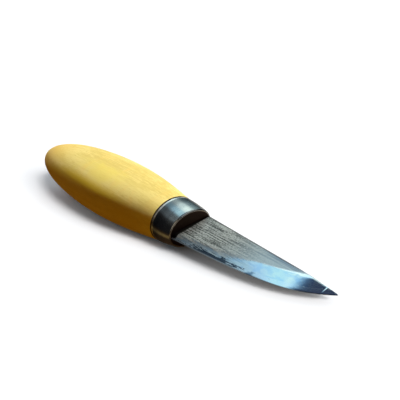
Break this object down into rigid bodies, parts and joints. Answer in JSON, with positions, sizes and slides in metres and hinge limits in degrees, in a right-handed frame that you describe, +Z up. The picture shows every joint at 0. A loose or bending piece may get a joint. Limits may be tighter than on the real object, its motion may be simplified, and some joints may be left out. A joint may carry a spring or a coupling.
{
  "type": "wood carving knife",
  "caption": "Fixed-blade wood carving knife with a short laminated blade, stick tang, polished steel collar and oval barrel-shaped birch handle, lying on its side.",
  "frame": {"origin": "middle of the knife's bounding box, on the surface it lies on", "axes": "+X from the butt to the tip, +Y from the cutting edge to the spine, +Z up from the surface; the blade dips by 4.5 degrees as the knife lies balanced on its belly"},
  "size_m": [0.161, 0.03, 0.023],
  "materials": {
    "birch": "oiled pale birch, satin",
    "collar_steel": "polished dark steel with a darkened front face",
    "core_steel": "honed hard steel, bright",
    "cladding_steel": "grey steel with fine lengthwise grinding lines, bevel polished",
    "bedding": "dark set glue, matt"
  },
  "bodies": {
    "root": {"handle": "birch", "collar": "collar_steel", "blade_core": "core_steel", "blade_cladding_upper": "cladding_steel", "blade_cladding_lower": "cladding_steel", "tang_bedding": "bedding"}
  },
  "joints": []
}
